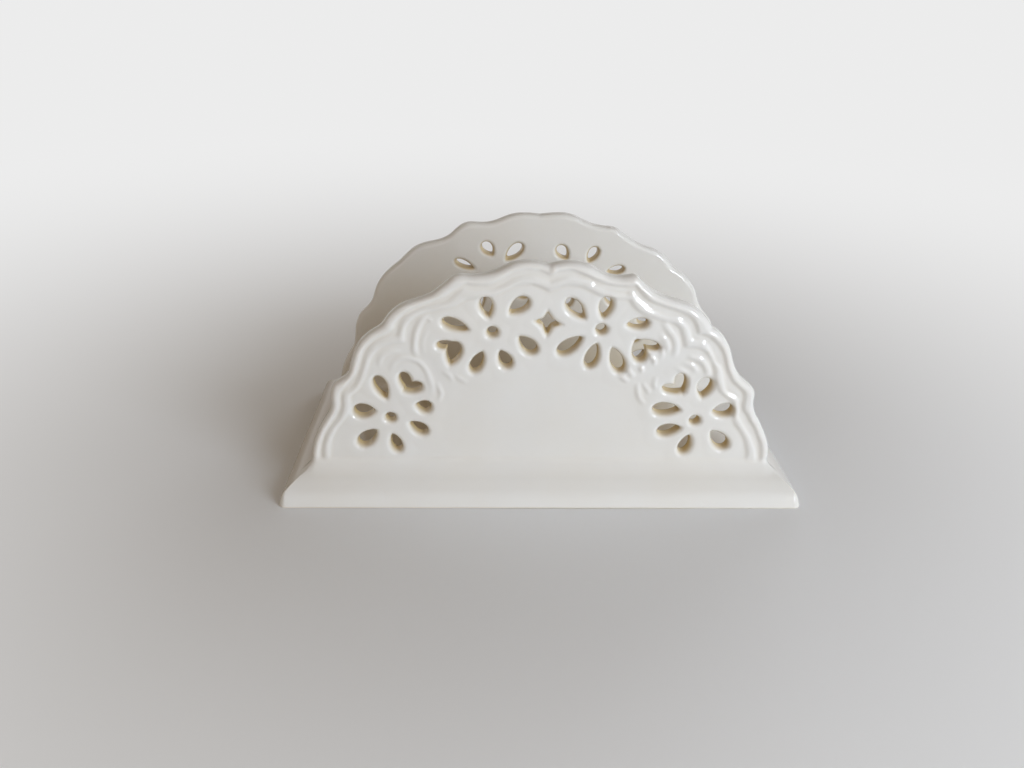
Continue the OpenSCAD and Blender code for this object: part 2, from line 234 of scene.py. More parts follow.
# The moulded rim, from the crown down to the foot: the inner flank of the roll, and the outer
# and inner flanks of the ridge beside it. On the left, x is counted to the left.
CROWN = {"roll": [(0, 80.4), (1.5, 81.2), (4, 82)],
         "outer": [(0, 77.8), (1.5, 78.3), (4, 79.2)],
         "inner": [(0, 75.2), (2, 76), (4, 76.8)]}
RIGHT = {"roll": [
    (6, 82.2), (8, 81.6), (11, 80.3), (14, 79), (17, 78), (20, 77.3), (24, 77), (26.5, 77.2),
    (28, 75.5), (30, 73.5), (32, 72), (35, 70.8), (38, 69.8), (41, 68.8), (44, 67.5), (46, 65.8),
    (47.3, 63.5), (48.2, 61.3), (49.5, 61), (52, 60), (54, 58.5), (56, 56.5), (57.5, 54),
    (58.5, 51.5), (59.5, 48.5), (61, 45.5), (62.5, 43.5), (65.3, 41), (66.5, 39.5), (67, 37.5),
    (67, 35), (67.5, 33), (69, 31), (70.5, 28.5), (72, 26.5), (73.5, 23.5), (75, 20.5), (76, 17.5),
    (76.5, 14.5), (76.6, 11)],
    "outer": [
    (6, 79.5), (8, 79.1), (11, 78.5), (12.7, 77.8), (13.7, 76.8), (15.5, 76), (18, 75), (21, 74.3),
    (24, 74), (25.5, 74.8), (27.5, 72.5), (29.5, 70.8), (31.7, 69), (34.2, 67.8), (38, 66.7),
    (41, 66.3), (43.5, 64.2), (45, 62), (46.3, 58.9), (49.8, 58.3), (51.5, 57), (53, 54.8),
    (55, 51), (57, 49), (58, 46.5), (59, 43), (60.5, 39.8), (64.5, 37.2), (64.8, 35), (65.5, 32.5),
    (66, 30.5), (67.5, 28), (69.5, 25), (71.5, 22), (73, 19), (74, 16.5), (75, 12), (75.2, 10)],
    "inner": [
    (6, 77.1), (8, 77), (10, 76.6), (12, 75.7), (14, 74.7), (17, 73.5), (20, 72.8), (24.5, 72.6),
    (26, 71), (28, 69), (30, 67.8), (32, 67), (36, 65.7), (38, 65), (40, 64.5), (42, 63), (43, 61),
    (44, 58.5), (44.7, 56.5), (47, 56.2), (49, 56), (51, 55), (53, 53), (54.5, 50.5), (55.5, 48),
    (56, 45), (57, 42.5), (58.5, 40), (60.5, 38.2), (62.5, 36.7), (63.4, 35.5), (63.8, 32.5),
    (64.7, 28.8), (66.5, 26), (68, 24), (69.5, 21.5), (70.5, 19), (71.3, 16.5), (71.5, 14),
    (71.5, 10)]}

LEFT = {"roll": [
    (8, 82.2), (12, 80.9), (15, 79), (18, 77.3), (21, 76.9), (24, 77), (26, 77.3), (28, 76.2),
    (31, 74.2), (33, 72.8), (36, 71.6), (40, 70), (43.5, 68.3), (46.5, 66), (48.4, 63.8),
    (49.3, 61.7), (51.5, 60), (54.5, 58.6), (57, 56.6), (59, 54), (60.2, 51), (61.2, 48),
    (62.6, 45), (65, 42), (67.2, 39.5), (68, 37), (68.2, 34.5), (69, 32), (70.5, 29.3),
    (72.4, 26.5), (74.3, 23.3), (75.5, 20.3), (76.4, 17), (76.9, 14), (77, 10)],
    "outer": [
    (6, 79.5), (9, 79.2), (12, 77.9), (15, 76), (18, 74.9), (21, 74.6), (24, 74.6), (26.5, 74.9),
    (28.2, 74.1), (29.5, 72.8), (31, 71.4), (33, 70.4), (36, 69.6), (39, 68.7), (42, 67.6),
    (44, 66.5), (45.5, 65), (46.5, 63), (47.1, 61), (47.9, 59.2), (50, 58.8), (52.5, 58),
    (55, 56.6), (57, 54.5), (58.4, 51.5), (59.5, 48), (60.5, 45.3), (62, 42), (63.6, 40.1),
    (66.1, 38.6), (66.8, 36.5), (66.9, 34), (67.5, 31.3), (68.7, 28.8), (70.5, 26.3), (72.5, 23.6),
    (73.7, 20.8), (74.6, 17.8), (75, 14.5), (75.1, 10)],
    "inner": [
    (6, 77.3), (10, 76.9), (13, 75.6), (16, 74), (20, 72.8), (24, 72.4), (26, 72), (27.7, 70.9),
    (30, 69.6), (34, 68.5), (38, 67.6), (41, 66.4), (43, 65.1), (44.3, 63.5), (45.1, 61.7),
    (45.5, 59.5), (45.9, 57.4), (48.5, 56.9), (51.5, 56.1), (53.7, 54.9), (55.4, 53.2), (56.8, 51),
    (57.8, 48), (58.8, 45), (60.2, 42.3), (61.5, 40.2), (64.2, 37.6), (64.6, 35), (64.9, 32.5),
    (66, 30), (67.6, 27.8), (69.6, 25.2), (71.2, 22.2), (72.3, 19), (72.8, 16), (73, 13), (73, 10)]}

# Ripples and beads beside the notches: height as a share of the ripple's, half width, crest
RIPPLES_RIGHT = [
    (1, 1.7, [(36.8, 64.6), (37.6, 63.4), (38.9, 61.6), (40.5, 59.7), (41.5, 57.2), (41.7, 54.7),
        (41.4, 53.4)]),
    (1, 1.7, [(46.6, 52.6), (47.8, 52.4), (50, 51.6), (51.8, 49.9), (52.9, 47.8), (53.1, 46.4)]),
    (0.8, 1.5, [(36.4, 60), (37.1, 59.2), (38, 58), (38.7, 56.2), (38.9, 55)]),
    (0.8, 1.5, [(45.2, 50.2), (46.5, 50), (47.6, 49.5), (48.8, 48.3), (49.3, 47.3)]),
    (0.6, 1.4, [(35.6, 57.4), (36.4, 56.3), (37.1, 54.8), (37.5, 53.3), (37.5, 52.4)]),
    (0.6, 1.4, [(42.7, 48.5), (43.8, 48.1), (45, 47.4), (45.8, 46.6), (46.2, 45.8)]),
    (0.95, 1.3, [(31, 48.7), (31.4, 47.6)]),
    (0.95, 1.3, [(33.9, 52.6), (35, 51.4), (35.3, 50.2)]),
    (0.9, 1.4, [(27.2, 47.4), (28.6, 45.8)]),
    (0.8, 1.4, [(24.6, 45.4), (26.7, 43.8)]),
    (0.8, 1.4, [(30.6, 42), (30.9, 39.5), (31.6, 37.4), (33, 35.4)]),
    (0.7, 1.3, [(32.6, 42.4), (33.8, 40.8), (34.4, 39.4)]),
    (0.6, 1.3, [(36.2, 44.6), (36, 42.6), (36.6, 41.2)])]
RIPPLES_LEFT = [
    (1.1, 1.6, [(42.1, 52.6), (42.4, 54.5), (42.4, 56.5), (42.1, 58.8), (41.6, 61), (40.7, 63),
        (39.5, 64.9), (38.2, 66)]),
    (0.35, 1.4, [(39.6, 53.6), (39.8, 56.5), (39.2, 59.2), (38, 61)]),
    (0.45, 1, [(37.4, 65), (36.9, 64.6)]),
    (0.7, 1.5, [(53.9, 49), (53.5, 51), (52.2, 52.6), (50, 53.6), (47.8, 53.9)]),
    (0.7, 1.5, [(49.9, 47.6), (49.3, 49.4), (47.6, 50.8), (45.3, 51.3), (43, 51), (41, 50),
        (39.6, 48.3), (38.5, 46), (37.8, 43.4), (37.2, 41), (37.3, 38.8)]),
    (0.6, 1.4, [(35.4, 42), (34.7, 40), (34.3, 38.4), (35, 36.2)]),
    (0.5, 1.4, [(29.3, 45.2), (27.8, 44), (26.4, 43.2)]),
    (0.45, 1.4, [(33, 46.5), (31.6, 45.4), (30.6, 43.6)])]
BUD = (0.32, 1.4, [(0.8, 82.9), (0.9, 81.2)])

# Section of the base's lip and shoulder: distance in from the edge, height
SHOULDER = [
    (0, -3), (0, -1.5), (0, 0), (0.35, 1), (0.7, 2), (1.1, 3), (1.5, 3.9), (2.1, 4.8),
    (2.9, 5.55), (3.9, 6.35), (5.3, 7.4), (6.9, 8.4), (8.2, 9), (9.3, 9.4), (10.6, 9.6),
    (13, 9.6), (20, 9.6), (40, 9.6)]


def smooth_line(points, parts=4):
    """A smooth curve through the points."""
    p = np.array(points, float)
    p = np.vstack([2 * p[0] - p[1], p, 2 * p[-1] - p[-2]])
    t = (np.arange(parts) / parts)[:, None]
    spans = []
    for a, b, c, d in zip(p[:-3], p[1:-2], p[2:-1], p[3:]):
        spans.append(0.5 * (2 * b + (c - a) * t + (2 * a - 5 * b + 4 * c - d) * t ** 2
                            + (3 * b - a - 3 * c + d) * t ** 3))
    return np.vstack([*spans, p[-2:-1]])


def close_below(left, right):
    """A line closed at the table, from its two halves, which run from the crown down."""
    ends = [[right[-1, 0], 0], [left[-1, 0], 0]]
    return np.vstack([right, ends, left[:0:-1]])


def relief_line(key):
    """One line of the moulded rim."""
    left, right = (smooth_line(CROWN[key] + half[key]) for half in (LEFT, RIGHT))
    return close_below(left * [-1, 1], right)


def rim_line(left, right, arch_z):
    """The panel's outline."""
    halves = []
    for side, rows in ((-1, left), (1, right)):
        a, r = smooth_line(rows[::-1]).T
        a = np.radians(a)
        halves.append(np.column_stack([side * r * np.cos(a), arch_z + r * np.sin(a)]))
    return close_below(*halves)


def round_steps(count):
    """Angles that go once round."""
    return np.arange(count) * 2 * np.pi / count


def petal_line(middle, petal):
    """Outline of a petal from its narrow end to its round end."""
    start = middle + FLOWER_REACH * np.array(petal[:2])
    end = middle + FLOWER_REACH * np.array(petal[2:4])
    a = round_steps(PETAL_POINTS)
    bulge = np.sin(a) * np.sqrt(np.abs(np.sin(a / 2)))
    bulge *= FLOWER_REACH * petal[4] / 2 / bulge.max()
    reach = np.linalg.norm(end - start)
    way = (end - start) / reach
    along = reach * (1 - np.cos(a)) / 2
    return start + along[:, None] * way + bulge[:, None] * np.array([-way[1], way[0]])


def piercing_lines(flowers, star_z):
    """Every shape that is cut through a panel."""
    a = round_steps(EYE_POINTS)
    eye = EYE_RADIUS * np.column_stack([np.cos(a), np.sin(a)])
    lines = []
    for middle, petals in flowers:
        middle = np.array(middle)
        lines.append(middle + eye)
        lines += [petal_line(middle, petal) for petal in petals]
    return [*lines, np.array(STAR) + [0, star_z]]


# Distances, in mm

# Low corner, high corner and step of the charts of the base's section and of a panel
SECTION_CHART = ((-30, -3), (5, 15), 0.1)
PANEL_CHART = ((-84, 6), (84, 89), 0.25)
# How far from a line its distance is worked out
FARTHEST = 6.0

# How soft the lip, the rim, and the cuts and relief are
LIP_SOFTNESS, RIM_SOFTNESS, CUT_SOFTNESS = 0.75, 0.4, 0.25
# Rounding of the hollow's ceiling, of its lower edge, and of the lip where it stands
CEILING_ROUND, FOOT_ROUND, TABLE_ROUND = 1.8, 0.9, 0.4
# The swelling round a piercing: the distance of its top, and how far it spreads
SWELL_TOP, SWELL_SPREAD = 2.2, 1.8
# Height over the table at which the relief sets in, and half the height that it takes
RELIEF_FOOT, RELIEF_RISE = 13.2, 1.6
# Where the outer cove passes into the inner one, behind the face, and half the way it takes
COVE_CHANGE, COVE_SPREAD = 1.0, 3.0
# Height over which a panel is clear of the base
CLEAR_OF_BASE = 17
# Lengths of the slow waves
WAVELENGTHS = (52, 41, 33, 24, 17, 13)
WAVE_SEED = 11


class Chart:
    """Values on a fine flat grid, read between its points by cubic interpolation."""

    def __init__(self, low, high, step):
        self.low, self.step = np.array(low, float), step
        self.axes = [np.arange(a, b + step / 2, step) for a, b in zip(low, high)]
        self.shape = tuple(len(a) for a in self.axes)
        self.layers = None

    def window(self, low, high):
        """Slices of the grid that cover a box."""
        first = np.floor((np.array(low) - self.low) / self.step).astype(int)
        last = np.ceil((np.array(high) - self.low) / self.step).astype(int) + 1
        return tuple(slice(max(a, 0), max(min(b, n), 0))
                     for a, b, n in zip(first, last, self.shape))

    def to_segments(self, line, reach, closed=True):
        """Yields the window round each segment of a line, and the distances to it there."""
        ends = np.roll(line, -1, axis=0) if closed else line[1:]
        for i, (a, b) in enumerate(zip(line, ends)):
            w = self.window(np.minimum(a, b) - reach, np.maximum(a, b) + reach)
            u, v = self.axes[0][w[0]][:, None], self.axes[1][w[1]][None, :]
            ab = b - a
            t = ((u - a[0]) * ab[0] + (v - a[1]) * ab[1]) / max(ab @ ab, 1e-12)
            t = np.clip(t, 0, 1)
            yield i, w, np.hypot(u - a[0] - t * ab[0], v - a[1] - t * ab[1])

    def inside(self, line):
        """Distance to a closed line, positive inside it."""
        d = np.full(self.shape, FARTHEST)
        for _, w, distance in self.to_segments(line, FARTHEST):
            d[w] = np.minimum(d[w], distance)
        within = np.zeros(self.shape, bool)
        for a, b in zip(line, np.roll(line, -1, axis=0)):
            v = self.axes[1]
            rows = np.nonzero((v >= min(a[1], b[1])) & (v < max(a[1], b[1])))[0]
            if len(rows):
                cross = a[0] + (b[0] - a[0]) * (v[rows] - a[1]) / (b[1] - a[1])
                within[:, rows] ^= self.axes[0][:, None] < cross[None, :]
        return np.where(within, d, -d)

    def crest(self, line, half_width, heights):
        """A rounded crest along an open line, with a height for each segment."""
        top = np.zeros(self.shape)
        for i, w, d in self.to_segments(line, half_width, closed=False):
            bump = np.cos(np.pi / 2 * np.clip(d / half_width, 0, 1)) ** 2
            top[w] = np.maximum(top[w], heights[i] * bump)
        return top

    def blur(self, values, width):
        """Values evened out over a width, as glaze evens out a surface."""
        n = math.ceil(3 * width / self.step)
        weights = np.exp(-0.5 * (np.arange(-n, n + 1) * self.step / width) ** 2)
        weights /= weights.sum()
        for axis in (0, 1):
            pad = [(n, n) if axis == k else (0, 0) for k in (0, 1)]
            wide = np.pad(values, pad, mode="edge")
            size = values.shape[axis]
            values = sum(w * np.take(wide, np.arange(k, k + size), axis=axis)
                         for k, w in enumerate(weights))
        return values

    def keep(self, *layers):
        """Keeps the layers that are read."""
        self.layers = np.stack(layers, axis=-1)

    def read(self, u, v):
        """The layers' values at any places, cubic between the grid's points."""
        total = 0
        cells, weights = [], []
        for k, p in enumerate((u, v)):
            f = np.clip((p - self.low[k]) / self.step, 1, self.shape[k] - 2.001)
            i = f.astype(int)
            f = f - i
            cells.append(i)
            weights.append(((-f ** 3 + 2 * f ** 2 - f) / 2, (3 * f ** 3 - 5 * f ** 2 + 2) / 2,
                            (-3 * f ** 3 + 4 * f ** 2 + f) / 2, (f ** 3 - f ** 2) / 2))
        for i in range(4):
            for j in range(4):
                weight = (weights[0][i] * weights[1][j])[:, None]
                total = total + weight * self.layers[cells[0] + i - 1, cells[1] + j - 1]
        return np.moveaxis(total, -1, 0)


def step_up(x, half_width):
    """Rises smoothly from 0 to 1 across zero."""
    t = np.clip(x / half_width * 0.5 + 0.5, 0, 1)
    return t * t * (3 - 2 * t)


def meet(a, b, r):
    """Where two solids overlap, with their edge rounded."""
    return np.minimum(np.maximum(a, b), -r) + np.hypot(np.maximum(a + r, 0),
                                                       np.maximum(b + r, 0))


def join(a, b, r):
    """Two solids together, with a cove between them."""
    return -meet(-a, -b, r)


def in_mm(settings):
    """A group's lengths by name, in mm. A share is read from the group itself."""
    return types.SimpleNamespace(
        **{key: getattr(settings, key) / MM for key in settings.__annotations__})


class Clay:
    """The holder's solid, by its distance to the surface in mm, negative inside."""

    def __init__(self, base, panel, glaze):
        self.base, self.sizes = in_mm(base), in_mm(panel)
        self.seat, self.face = (base.floor + base.cove) / MM, self.sizes.face
        self.taper, self.waviness = panel.hole_taper, glaze.waviness / MM
        self.section = Chart(*SECTION_CHART)
        below = [-SHOULDER[-1][0], SHOULDER[0][1]]
        shoulder = np.vstack([smooth_line(SHOULDER) * [-1, 1], below])
        self.section.keep(self.section.blur(-self.section.inside(shoulder), LIP_SOFTNESS))
        relief = self.relief(Chart(*PANEL_CHART))
        self.charts = {}
        for name, (_, left, right, *cuts) in PANELS.items():
            chart = Chart(*PANEL_CHART)
            rim = chart.inside(rim_line(left, right, self.sizes.arch))
            holes = np.full(chart.shape, FARTHEST)
            for line in piercing_lines(*cuts):
                holes = np.minimum(holes, -chart.inside(line))
            holes = chart.blur(holes, CUT_SOFTNESS) + CUT_SOFTNESS
            swell = step_up(SWELL_SPREAD - np.abs(holes - SWELL_TOP), SWELL_SPREAD)
            chart.keep(chart.blur(rim, RIM_SOFTNESS), holes,
                       relief + self.sizes.petal_lift * swell)
            self.charts[name] = chart

    def relief(self, chart):
        """Height of the moulded rim over the plain face."""
        s = self.sizes
        edge = {key: step_up(chart.inside(relief_line(key)), s.flank) for key in CROWN}
        ridge = np.maximum(edge["outer"] - edge["inner"], 0)
        height = s.roll * (1 - edge["roll"]) + s.ridge * ridge
        top = np.zeros(chart.shape)
        for side, ripples in ((-1, RIPPLES_LEFT), (1, RIPPLES_RIGHT)):
            for size, half_width, crest in ripples:
                line = smooth_line(crest) * [side, 1]
                tall = np.sin(np.pi * (np.arange(len(line) - 1) + 0.5) / (len(line) - 1))
                heights = size * s.ripple * tall ** 0.5
                top = np.maximum(top, chart.crest(line, half_width, heights))
        size, half_width, crest = BUD
        bud = chart.crest(np.array(crest, float), half_width, [size])
        height = chart.blur(height + top + bud, CUT_SOFTNESS)
        return height * step_up(chart.axes[1] - RELIEF_FOOT, RELIEF_RISE)[None, :]

    def waves(self, p):
        """Slow waves of a hand-finished surface."""
        total = 0
        rng = np.random.default_rng(WAVE_SEED)
        for wavelength in WAVELENGTHS:
            way = rng.normal(size=3)
            way *= 2 * np.pi / wavelength / np.linalg.norm(way)
            wave = np.sin(p @ way + rng.uniform(0, 2 * np.pi))
            total = total + wave * wavelength / WAVELENGTHS[0]
        return self.waviness * total / 2

    def slab(self, name, p):
        """A panel, which runs on down into the base. Its piercings narrow towards the back."""
        s, side = self.sizes, PANELS[name][0]
        v = p[:, 1] * side + self.face
        rim, holes, height = self.charts[name].read(p[:, 0] * side, p[:, 2])
        holes = holes + self.taper * (v if side > 0 else s.thickness - v)
        front, back = -(v + height), v - s.thickness
        return np.maximum.reduce([
            meet(front, -rim, s.front_round), meet(back, -rim, s.back_round),
            meet(front, -holes, s.hole_round), meet(back, -holes, s.hole_round)])

    def plinth(self, p):
        """The base alone, with the hollow underneath."""
        b, z = self.base, p[:, 2]
        solid = self.section.read(self.plate(p, 0, b.corner), z)[0]
        room = meet(self.plate(p, b.rim, b.hollow_corner), z - b.hollow, CEILING_ROUND)
        return meet(solid, -room, FOOT_ROUND)

    def plate(self, p, inset, r):
        """Distance in plan to a plate with round corners, which lies in from the base's edge."""
        u = np.abs(p[:, 0]) - (self.base.length / 2 - inset) + r
        v = np.abs(p[:, 1]) - (self.base.depth / 2 - inset) + r
        return np.hypot(np.maximum(u, 0), np.maximum(v, 0)) + np.minimum(np.maximum(u, v), 0) - r

    def foot(self, name, solid, slab, p):
        """The base and a panel together, with a wide cove outside and a narrow one inside."""
        outside = step_up(COVE_CHANGE - p[:, 1] * PANELS[name][0] - self.face, COVE_SPREAD)
        b = self.base
        return join(solid, slab, b.cove + (b.front_cove - b.cove) * outside)

    def panel(self, name, p):
        """A panel with the base under it."""
        solid = self.slab(name, p)
        low = p[:, 2] < CLEAR_OF_BASE
        solid[low] = self.foot(name, self.plinth(p[low]), solid[low], p[low])
        return solid + self.waves(p)

    def whole(self, p):
        """The base with the feet of both panels, standing on the table."""
        solid = self.plinth(p)
        for name in PANELS:
            solid = self.foot(name, solid, self.slab(name, p), p)
        return meet(solid + self.waves(p), -p[:, 2], TABLE_ROUND)

    @staticmethod
    def slope(field, p, reach=0.2):
        """The field's slope at each point."""
        steps = reach * np.eye(3)
        return np.column_stack([(field(p + d) - field(p - d)) / (2 * reach) for d in steps])


# Meshes

# Where a panel's surface is looked for: x, way in from the plain face, and z, in mm
PANEL_SPANS = ((-82.25, 82.5), (-3.25, 6.0), (10.85, 86.5))
# The base's x and y: fine steps from and to, and the number of coarser ones between. Then its z
BASE_SPANS = ((74.25, 91.5, 119), (22.25, 44.0, 30))
BASE_HEIGHTS = (-0.75, 13.5)
POINTS_AT_ONCE = 200000
# Points move onto the surface in a few rounds, each by so much at most, in mm
SETTLING_ROUNDS, LARGEST_MOVE, LEAST_SLOPE = 3, 0.35, 0.05


def part_of(cuts):
    """The index of the part of a grid that is cut as given along some axes."""
    return tuple(cuts.get(k, slice(None)) for k in range(3))


def skin(field, axes):
    """Points and four-sided faces over a field's surface, found on a grid of boxes."""
    grid = np.stack(np.meshgrid(*axes, indexing="ij"), axis=-1)
    shape = grid.shape[:3]
    flat = grid.reshape(-1, 3)
    parts = np.array_split(flat, len(flat) // POINTS_AT_ONCE + 1)
    value = np.concatenate([field(part) for part in parts]).reshape(shape)
    solid = value < 0
    cells = tuple(n - 1 for n in shape)
    total, count = np.zeros(cells + (3,)), np.zeros(cells)
    crossings = []
    for axis in range(3):
        near, far = part_of({axis: slice(0, -1)}), part_of({axis: slice(1, None)})
        cross = solid[near] != solid[far]
        gap = value[near] - value[far]
        t = np.where(cross, value[near] / np.where(gap == 0, 1, gap), 0)[..., None]
        place = grid[near] + t * (grid[far] - grid[near])
        others = [k for k in range(3) if k != axis]
        for i in (0, 1):
            for j in (0, 1):
                pick = part_of({k: slice(s, s + cells[k]) for k, s in zip(others, (i, j))})
                total += np.where(cross[pick][..., None], place[pick], 0)
                count += cross[pick]
        crossings.append((cross, solid[near], others))
    used = count > 0
    index = np.full(cells, -1)
    index[used] = np.arange(used.sum())
    points = total[used] / count[used][:, None]
    faces = [faces_across(index, axis, *crossing) for axis, crossing in enumerate(crossings)]
    return points, np.vstack(faces)


def faces_across(index, axis, cross, filled, others):
    """A face that looks outwards for each place where the surface crosses the grid's lines."""
    where = np.argwhere(cross[part_of({k: slice(1, -1) for k in others})])
    where[:, others] += 1
    turned = filled[tuple(where.T)] ^ (axis == 1)
    corners = []
    for i, j in ((-1, -1), (0, -1), (0, 0), (-1, 0)):
        c = where.copy()
        c[:, others] += (i, j)
        corners.append(index[tuple(c.T)])
    quads = np.column_stack(corners)
    quads[~turned] = quads[~turned][:, ::-1]
    return quads


def settle(field, points):
    """Moves points onto the field's surface."""
    for _ in range(SETTLING_ROUNDS):
        g = Clay.slope(field, points)
        size = np.maximum((g ** 2).sum(1), LEAST_SLOPE)
        move = -(field(points) / size)[:, None] * g
        points = points + np.clip(move, -LARGEST_MOVE, LARGEST_MOVE)
    return points


def cut_level(mesh, level, keep_above):
    """Cuts a mesh off level at a height and closes it there."""
    bm = bmesh.new()
    bm.from_mesh(mesh)
    everything = bm.verts[:] + bm.edges[:] + bm.faces[:]
    made = bmesh.ops.bisect_plane(
        bm, geom=everything, plane_co=(0, 0, level), plane_no=(0, 0, 1), dist=1e-6,
        clear_inner=keep_above, clear_outer=not keep_above)
    rim = [e for e in made["geom_cut"] if isinstance(e, bmesh.types.BMEdge) and e.is_boundary]
    caps = bmesh.ops.holes_fill(bm, edges=rim, sides=0)["faces"]
    bmesh.ops.triangulate(bm, faces=caps)
    bm.normal_update()
    bm.to_mesh(mesh)
    bm.free()


def new_object(name, data):
    """A new object in the scene."""
    made = bpy.data.objects.new(name, data)
    bpy.context.scene.collection.objects.link(made)
    return made


def clay_object(name, points, faces):
    """A new object from points in mm and four-sided faces."""
    mesh = bpy.data.meshes.new(name)
    mesh.from_pydata(points * MM, [], faces, shade_flat=False)
    mesh.validate()
    return new_object(name, mesh)


# Marks that the glaze reads, and painted shade in close corners, the slot and the piercings
# Each pair is where a mark passes the middle of its rise and half the way that the rise takes.

# The surface's bend over a short way, in 1/mm
BEND_REACH = 0.8
HOLLOW_BEND, EDGE_BEND = (0.35, 0.5), (0.9, 0.5)
# Free room at a short way out from the surface, in mm; where there is little room, the glaze gets
# painted shade
ROOM_REACH = 2.4
CLOSE_ROOM = (1.3, 0.9)
# The slot's shade and the piercings' shade below are painted shade
# The slot's shade: its half width, height and half length, the height where it sets in, all in
# mm, and the most that it reaches
SLOT_SIDE, SLOT_HEIGHT, SLOT_END = (27.2, 0.8), (35, 35), (56, 22)
SLOT_BOTTOM, SLOT_AMOUNT = 8, 0.62
# The piercings' shade: its edge and its depth behind the plain face, in mm, and its least
PIERCED_EDGE, PIERCED_DEPTH = (0.35, 0.5), (1.4, 1.3)
PIERCED_LEAST = 0.3
# Height over the table up to which the clay is bare, in mm
DRY_HEIGHT = (0.12, 0.08)


def under(x, place, half_width):
    """Falls smoothly from 1 to 0 where x passes a place."""
    return step_up(place - x, half_width)


def over(x, place, half_width):
    """Rises smoothly from 0 to 1 where x passes a place."""
    return step_up(x - place, half_width)


def slot_shade(p):
    """Painted shade, which rises low in the slot between the panels, away from its open ends."""
    x, y, z = np.abs(p[:, 0]), np.abs(p[:, 1]), p[:, 2]
    between = under(y, *SLOT_SIDE) * under(z, *SLOT_HEIGHT) * (z > SLOT_BOTTOM)
    return between * (SLOT_AMOUNT * under(x, *SLOT_END))


def glaze_marks(p, normal, field, shade):
    """How hollow, sharp and dry the surface is at each point, and its painted shade."""
    around = sum(field(p + s * d) for d in BEND_REACH * np.eye(3) for s in (-1, 1))
    bend = (around - 6 * field(p)) / BEND_REACH ** 2
    room = field(p + normal * ROOM_REACH)
    return {"pooled": over(-bend, *HOLLOW_BEND), "thin": over(bend, *EDGE_BEND),
            "sheltered": np.maximum(under(room, *CLOSE_ROOM), shade(p)),
            "dry": under(p[:, 2], *DRY_HEIGHT)}


def finish_piece(piece, field, node, shade=slot_shade):
    """Smooth shading from the clay's own slope, the glaze's marks and painted shade, and the frame.
    """
    mesh = piece.data
    co = np.empty(len(mesh.vertices) * 3, np.float32)
    mesh.vertices.foreach_get("co", co)
    p = co.reshape(-1, 3).astype(float) / MM
    normal = Clay.slope(field, p)
    normal /= np.maximum(np.linalg.norm(normal, axis=1), 1e-9)[:, None]
    mesh.polygons.foreach_set("use_smooth", np.ones(len(mesh.polygons), bool))
    mesh.normals_split_custom_set_from_vertices(normal.astype(np.float32))
    for key, values in glaze_marks(p, normal, field, shade).items():
        mark = mesh.attributes.new(key, "FLOAT", "POINT")
        mark.data.foreach_set("value", np.asarray(values, np.float32))
    piece.data.materials.append(glaze_material())
    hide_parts(node)
    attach(piece, "root")


# Glaze

SPECK_COLOUR = (0.45, 0.37, 0.27)
# The drifted ivory as a share of the plain one, in red, green and blue
DRIFT_SHARES = (0.99, 0.975, 0.95)
# Where the drift of tone starts and ends, and how far it takes the roughness down and up
DRIFT_SPAN = (0.3, 0.7)
SMOOTHER, ROUGHER = 0.03, 0.05
CLAY_ROUGHNESS = 0.85
# The nodes of a tree stand in a row, this far apart, with a group's last one at the end
NODE_STEP, ROW_END = 220, 2640


def feed(tree, node, sockets):
    """Gives a node's named or numbered sockets their values or links."""
    for key, value in sockets.items():
        if isinstance(value, bpy.types.NodeSocket):
            tree.links.new(value, node.inputs[key])
        else:
            node.inputs[key].default_value = value


def add(tree, kind, sockets=None, **settings):
    """A node with its settings and its sockets fed."""
    made = tree.nodes.new("ShaderNode" + kind)
    made.location.x = NODE_STEP * len(tree.nodes)
    for key, value in settings.items():
        setattr(made, key, value)
    feed(tree, made, sockets or {})
    return made


def work_out(tree, operation, a, b, **settings):
    """The outcome of an operation on two numbers."""
    return add(tree, "Math", {0: a, 1: b}, operation=operation, **settings).outputs[0]


def ramp(tree, value, span, low, high, **settings):
    """Runs from low to high as a value passes through a span."""
    sockets = {0: value, 1: span[0], 2: span[1], 3: low, 4: high}
    return add(tree, "MapRange", sockets, **settings).outputs[0]


def new_group(name, inputs, outputs):
    """A shader node group with named numbers going in and out."""
    group = bpy.data.node_groups.new(name, "ShaderNodeTree")
    for label, value in inputs.items():
        socket = group.interface.new_socket(label, in_out="INPUT", socket_type="NodeSocketFloat")
        socket.default_value = value
    for label in outputs:
        group.interface.new_socket(label, in_out="OUTPUT", socket_type="NodeSocketFloat")
    start, end = group.nodes.new("NodeGroupInput"), group.nodes.new("NodeGroupOutput")
    end.location.x = ROW_END
    return group, start.outputs, end


def tone_group():
    """Slow drift of tone, and fine specks, over any surface."""
    group, given, end = new_group(
        "Kiln tone", {"Drift size": 30.0, "Speck size": 900.0, "Speck amount": 0.5},
        ("Drift", "Specks"))
    place = add(group, "TexCoord").outputs["Object"]
    drift = add(group, "TexNoise", {
        "Vector": place, "Scale": given["Drift size"], "Detail": 3.0, "Roughness": 0.55})
    speck = add(group, "TexVoronoi", {
        "Vector": place, "Scale": given["Speck size"], "Randomness": 1.0})
    lone = add(group, "TexNoise", {"Vector": place, "Scale": 160.0, "Detail": 1.0})
    near = ramp(group, speck.outputs["Distance"], (0.02, 0.14), 1.0, 0.0)
    rare = ramp(group, lone.outputs["Fac"], (0.62, 0.70), 0.0, 1.0)
    both = work_out(group, "MULTIPLY", near, rare)
    specks = work_out(group, "MULTIPLY", both, given["Speck amount"])
    feed(group, end, {"Drift": drift.outputs["Fac"], "Specks": specks})
    return group


